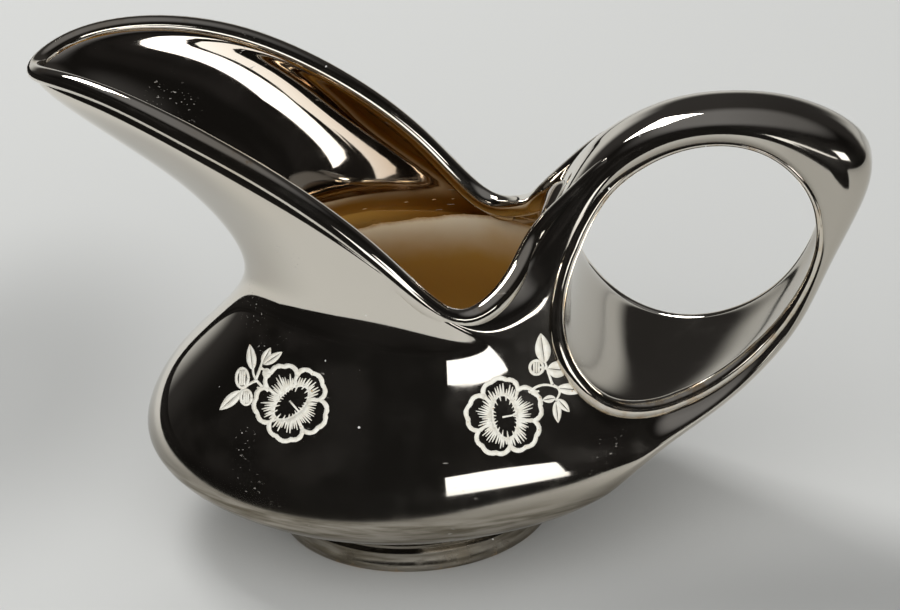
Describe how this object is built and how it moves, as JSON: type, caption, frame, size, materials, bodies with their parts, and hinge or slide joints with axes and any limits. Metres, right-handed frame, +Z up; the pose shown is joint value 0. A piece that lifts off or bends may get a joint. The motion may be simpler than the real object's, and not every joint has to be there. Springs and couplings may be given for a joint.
{
  "type": "creamer",
  "caption": "Lustred pottery creamer: low oval bowl with a long upswept pouring beak, rolled rim, looped strap handle and turned foot.",
  "frame": {"origin": "on the table, midway between the lip and the handle's outermost point, on the plane of symmetry", "axes": "+X from the lip to the handle, +Y to the far side, +Z up"},
  "size_m": [0.1652, 0.0896, 0.1016],
  "materials": {
    "lustre": "mirror metallic lustre fired over glaze",
    "cream_glaze": "clear gloss over a cream body"
  },
  "bodies": {
    "root": {"body": "lustre", "handle": "lustre", "rim_bead": "lustre", "foot_ring": "lustre", "glaze_lining": "cream_glaze"}
  },
  "joints": []
}
